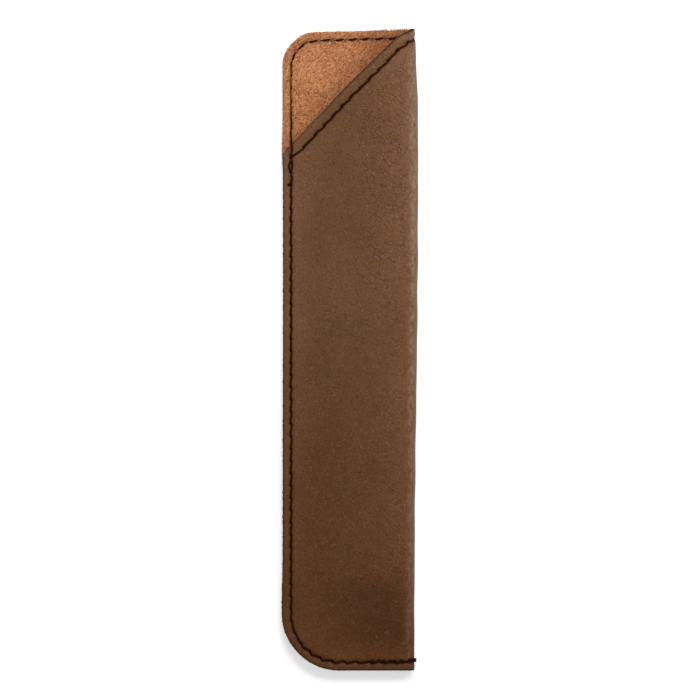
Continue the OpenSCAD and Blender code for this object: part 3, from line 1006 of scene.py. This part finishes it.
# backtack at the foot: it goes round the fold and back over the last stitches
footEnd = {
    "above": 0.35,  # mm over the seam's line
    # share of the fold and height over the face
    "round": ((0.93, 0.28), (0.55, 0.3), (0.25, -0.08), (0.07, 0)),
    "turns": ((0, -0.15, 0), (0, 0.32, 0.04)),
    "stitches": 6,
    "pitch": 0.46,  # share of a stitch of the seam
    "bow": 0.16,
    "shift": (0.3, 0.26),
}
wrap = np.array([
    (*(seamHoles[-1] + (-0.4, 0.1)), 0.1),
    *((foldSpan * share, inset + footEnd["above"], high) for share, high in footEnd["round"]),
    (*backHoles[-1], 0.05)])
tackSteps = footEnd["pitch"] * frontSeam.step * np.arange(footEnd["stitches"] + 1)
tackEnds = frontSeam.at(frontSeam.holes[-1] - tackSteps) + footEnd["shift"]
tackBows = {i: footEnd["bow"] * (-1) ** i for i in range(footEnd["stitches"])}
footTack = stitchRow(tackEnds, looks["footTack"], rng, tackBows)
backTack = stitchRow(backHoles[3::-1], looks["backSeam"], rng, {0: 0.25, 1: -0.4, 2: 0.2})
hemRow = stitchRow(np.concatenate([seamHoles[1:2], hemHoles]), looks["hemFront"], rng)
strands = {
    "hem_needle": [lay(hemRow, wall)],
    "hem_bobbin": [
        lay(stitchRow(hemHoles[1:hemCorner + 1], looks["hemInside"], rng), 0, paleUnderThread),
        lay(stitchRow(hemHoles[hemCorner:], looks["hemInsideLow"], rng), 0, paleUnderThread)],
    "seam_needle": [
        lay(overEdge(sideRow, cornerEdge), wall), lay(footRow, wall),
        lay(overEdge(np.concatenate([looseEnd, tack]), cornerEdge), wall),
        lay(footTack, wall), *(lay(wrap + turn, wall) for turn in footEnd["turns"])],
    "seam_bobbin": [lay(stitchRow(backHoles, looks["backSeam"], rng), wall), lay(backTack, wall)],
}
for name, laid in strands.items():
    makeThreadPiece(name + "_stitches", name + "_thread", laid)
print("threads sewn:", sum(len(laid) for laid in strands.values()), "strands")

# Nap: short tufts of the suede where it shows, longest along its cut edge

nap = {
    "perArea": 7,                # tufts per square mm
    "length": 0.55,
    "width": 0.1,
    "height": 0.045,
    "angle": 50,                 # brushed this way, degrees from the bottom edge
    "spread": 28,
    "fringe": (2, 0.08),         # tufts at each point of the cut edge, and their scatter in mm
    "frayed": (2, 9),            # how much longer they are beside the fold, and over what width
    "hidden": (14, 0.2),         # tufts over each hole of the top hem, and their scatter
    # for the tufts of the face, of the fringe and over the holes
    "lengths": (1, 0.45, 0.9),
    "heights": (1, 0.7, 2.4),
    "depths": (0, 0.22, -0.04),  # the fringe grows out of the middle of the edge
}


def makeNap(rng):
    outline = patternOutline(0.2)
    low, high = (-roundX(140), mouthLow), (8, sleeveLength)
    count = int(nap["perArea"] * (high[0] - low[0]) * (high[1] - low[1]))
    roots = rng.uniform(low, high, (count, 2))
    x = roots[:, 0] + roundX(roots[:, 1])
    shown = (roots[:, 1] > mouthHeight(x) - 3) & inside(roots, outline)
    shown &= nearest(lines, roots) > 0.3
    roots = roots[shown]
    back = outline[(outline[:, 0] < 4) & (outline[:, 1] > mouthLow - 1)]
    fringe, (copies, scatter) = back[rng.permutation(len(back))], nap["fringe"]
    fringe = np.concatenate([fringe + rng.normal(0, scatter, fringe.shape) for _ in range(copies)])
    copies, scatter = nap["hidden"]
    hidden = np.repeat(hemHoles[(hemHoles[:, 0] < 0) & (hemHoles[:, 1] > 153)], copies, 0)
    hidden = hidden + rng.normal(0, scatter, hidden.shape) - (0.25, 0.32)
    angle = np.radians(nap["angle"] + nap["spread"] * rng.standard_normal(len(roots)))
    outward = fringe - (-14, 142)      # the fringe points away from the middle of the suede
    fringeAngle = np.arctan2(outward[:, 1], outward[:, 0]) + rng.normal(0, 0.8, len(fringe))
    hiddenAngle = np.radians(nap["angle"] + 20 * rng.standard_normal(len(hidden)))
    roots = np.concatenate([roots, fringe, hidden])
    angle = np.concatenate([angle, fringeAngle, hiddenAngle])
    kind = np.repeat([0, 1, 2], [len(roots) - len(fringe) - len(hidden), len(fringe), len(hidden)])
    size = rng.uniform(0.6, 1.25, len(roots)) * np.choose(kind, nap["lengths"])
    longer, width = nap["frayed"]
    size *= 1 + longer * (kind == 1) * ease((roots[:, 0] + width) / width)
    rise = nap["height"] * rng.uniform(0.5, 1.5, len(roots)) * np.choose(kind, nap["heights"])
    depth = np.choose(kind, nap["depths"])
    along = np.stack([np.cos(angle), np.sin(angle)], 1)
    across = np.stack([-along[:, 1], along[:, 0]], 1)
    points = []
    for step, wide, high in ((0, 0.8, -0.06), (0.4, 1, 0.8), (0.75, 0.7, 1)):
        middle = roots + (step * nap["length"] * size)[:, None] * along
        half = 0.5 * nap["width"] * wide * np.sqrt(size)[:, None] * across
        lift = rise * high - depth
        for place, up in ((middle - half, 0), (middle + half, 0), (middle, 0.5 * nap["width"])):
            points.append(np.concatenate([place, (lift + up)[:, None]], 1))
    tip = roots + (nap["length"] * size)[:, None] * along + rng.normal(0, 0.05, roots.shape)
    points.append(np.concatenate([tip, (0.6 * rise - depth)[:, None]], 1))
    points = np.stack(points, 1)
    w, y, height = points.reshape(-1, 3).T
    placed = innerAt(w, y) - height[:, None] * outwardAt(w, y)
    # each tuft has three rings of three points and a tip
    perTuft, shape = 10, [(0, 1, 2)]
    for a in (0, 3):
        shape += [(a + i, a + 3 + i, a + 3 + (i + 1) % 3, a + (i + 1) % 3) for i in range(3)]
    shape += [(6 + i, 9, 6 + (i + 1) % 3) for i in range(3)]
    faces = [tuple(perTuft * k + i for i in face) for k in range(len(roots)) for face in shape]
    piece = makeMesh("suede_nap", placed, faces)
    piece.data.materials.append(suedeFace)
    shade = 0.4 * rng.uniform(0, 1, len(roots)) ** 2
    setAttribute(piece, "shade", np.repeat(shade * (kind != 1), perTuft))
    # painted shade on the tufts as on the lining, none on the fringe
    setAttribute(piece, "paintedShade", np.repeat(napShade(*roots.T) * (kind != 1), perTuft))
    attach(piece, "root")
    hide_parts("lining")
    print("nap raised:", len(roots), "tufts")
    return piece


suedeNap = makeNap(rng)

# Table and light

studio = {
    "table": "#f4f4f4",
    "tableSize": 3000,
    "tableDrop": 0.03,  # mm under the sleeve
    "tableGlow": 0.5,   # lifts the table to white for the camera, its shadows stay
    "sky": 0.3,
    # place, size and power
    "lamps": {"key_softbox": ((40, 300, 300), 250, 1.35), "side_softbox": ((300, 200, 260), 200, 0.62)},
}


def seenDirectly(tree):
    # 1 for what the camera sees, itself or in a mirror or glass
    rays = addNode(tree, "LightPath").outputs
    first = addNode(tree, "Math", (rays["Is Camera Ray"], rays["Is Glossy Ray"]), operation="MAXIMUM")
    return addNode(tree, "Math", (first, rays["Is Transmission Ray"]), operation="MAXIMUM")


def makeTable():
    half = studio["tableSize"] / 2 * mm
    mesh = bpy.data.meshes.new("table")
    corners = [(-half, -half, 0), (half, -half, 0), (half, half, 0), (-half, half, 0)]
    mesh.from_pydata(corners, [], [(0, 1, 2, 3)])
    table = bpy.data.objects.new("table", mesh)
    table.location.z = -studio["tableDrop"] * mm
    scene.collection.objects.link(table)
    material = bpy.data.materials.new("table_white_board")
    tree = emptyTree(material)
    board = addNode(tree, "BsdfDiffuse", {"Color": linear(studio["table"])})
    strength = addNode(tree, "Math", (seenDirectly(tree), studio["tableGlow"]), operation="MULTIPLY")
    glow = addNode(tree, "Emission", {"Strength": strength})
    addNode(tree, "OutputMaterial", (addNode(tree, "AddShader", (board, glow)),))
    mesh.materials.append(material)


def makeLamp(name, place, size, power):
    lamp = bpy.data.lights.new(name, "AREA")
    lamp.shape, lamp.size, lamp.energy = "DISK", size * mm, power
    body = bpy.data.objects.new(name, lamp)
    body.location = Vector(place) * mm
    body.rotation_euler = (-body.location).to_track_quat("-Z", "Y").to_euler()      # at the sleeve's middle
    scene.collection.objects.link(body)


def makeSky():
    world = bpy.data.worlds.new("studio")
    tree = emptyTree(world)
    light = addNode(tree, "Background", {"Color": (1, 1, 1, 1), "Strength": studio["sky"]})
    white = addNode(tree, "Background", {"Color": (1, 1, 1, 1), "Strength": 1})
    addNode(tree, "OutputWorld", (addNode(tree, "MixShader", (seenDirectly(tree), light, white)),))
    scene.world = world


makeTable()
makeSky()
for name, settings in studio["lamps"].items():
    makeLamp(name, *settings)
scene.view_settings.view_transform = "Standard"
print("studio ready")
